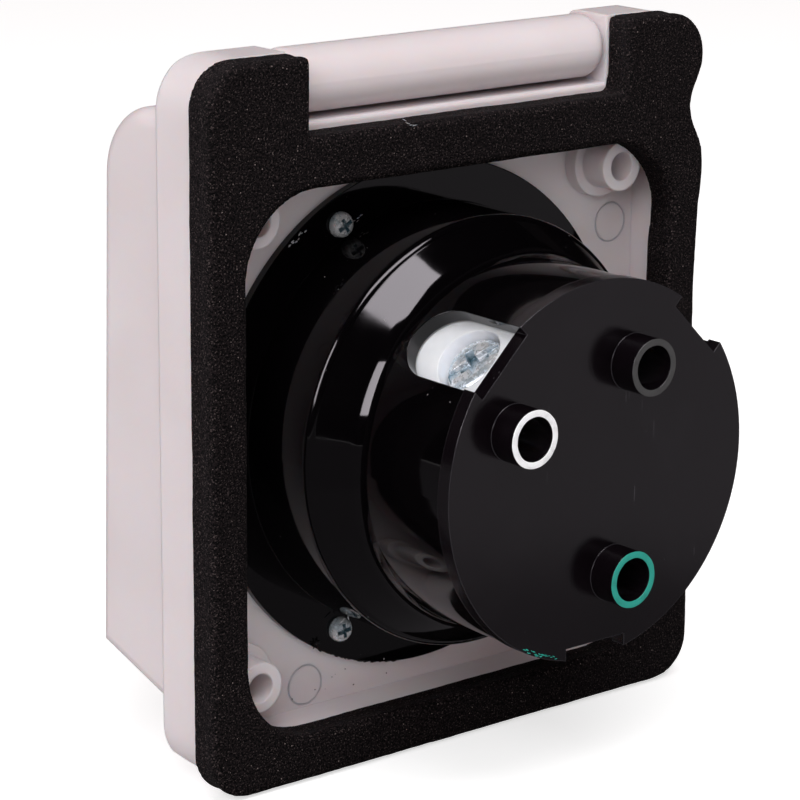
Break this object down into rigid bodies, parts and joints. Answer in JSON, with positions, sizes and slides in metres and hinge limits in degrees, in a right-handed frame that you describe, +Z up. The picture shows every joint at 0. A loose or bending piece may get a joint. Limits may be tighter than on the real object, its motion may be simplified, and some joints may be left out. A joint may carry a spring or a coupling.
{
  "type": "power inlet",
  "caption": "Square flanged power inlet with a hinged weather lid, foam wall seal, recessed locking blades and a round rear body with coloured wire entry tubes.",
  "frame": {"origin": "on the axis of the round body, in the plane where the foam seal meets the wall", "axes": "+Y into the wall along the round body's axis, away from the lid; +Z up toward the hinge; +X to the left seen from behind"},
  "size_m": [0.105, 0.0761, 0.121],
  "materials": {
    "white_plastic": "slightly glossy white ABS",
    "black_gloss": "polished black",
    "plate_dark": "fine matt dark grey",
    "foam": "closed-cell foam, speckled",
    "seal_rubber": "soft matt",
    "nylon": "milky nylon",
    "zinc": "bright zinc",
    "pin_steel": "plain steel",
    "brass": "brass",
    "green_screw": "green passivated steel"
  },
  "bodies": {
    "inlet": {"flange_housing": "white_plastic", "wall_gasket": "foam", "body_seal": "seal_rubber", "hinge_pin": "pin_steel", "inlet_body": "black_gloss", "end_plate": "plate_dark", "terminal_block": "nylon", "neutral_blade": "brass", "hot_blade": "brass", "ground_blade": "brass", "neutral_clamp": "zinc", "hot_clamp": "zinc", "ground_clamp": "zinc", "neutral_screw": "zinc", "hot_screw": "brass", "ground_screw": "green_screw", "body_screw_top": "zinc", "body_screw_bottom": "zinc", "body_screw_side": "zinc"},
    "lid": {"lid": "white_plastic", "lid_seal": "seal_rubber"}
  },
  "joints": [
    {"name": "lid_hinge", "type": "hinge", "parent": "inlet", "child": "lid", "pos_m": [0, -0.0103, 0.061], "axis": [-1, 0, 0], "range_deg": [0, 110]}
  ]
}
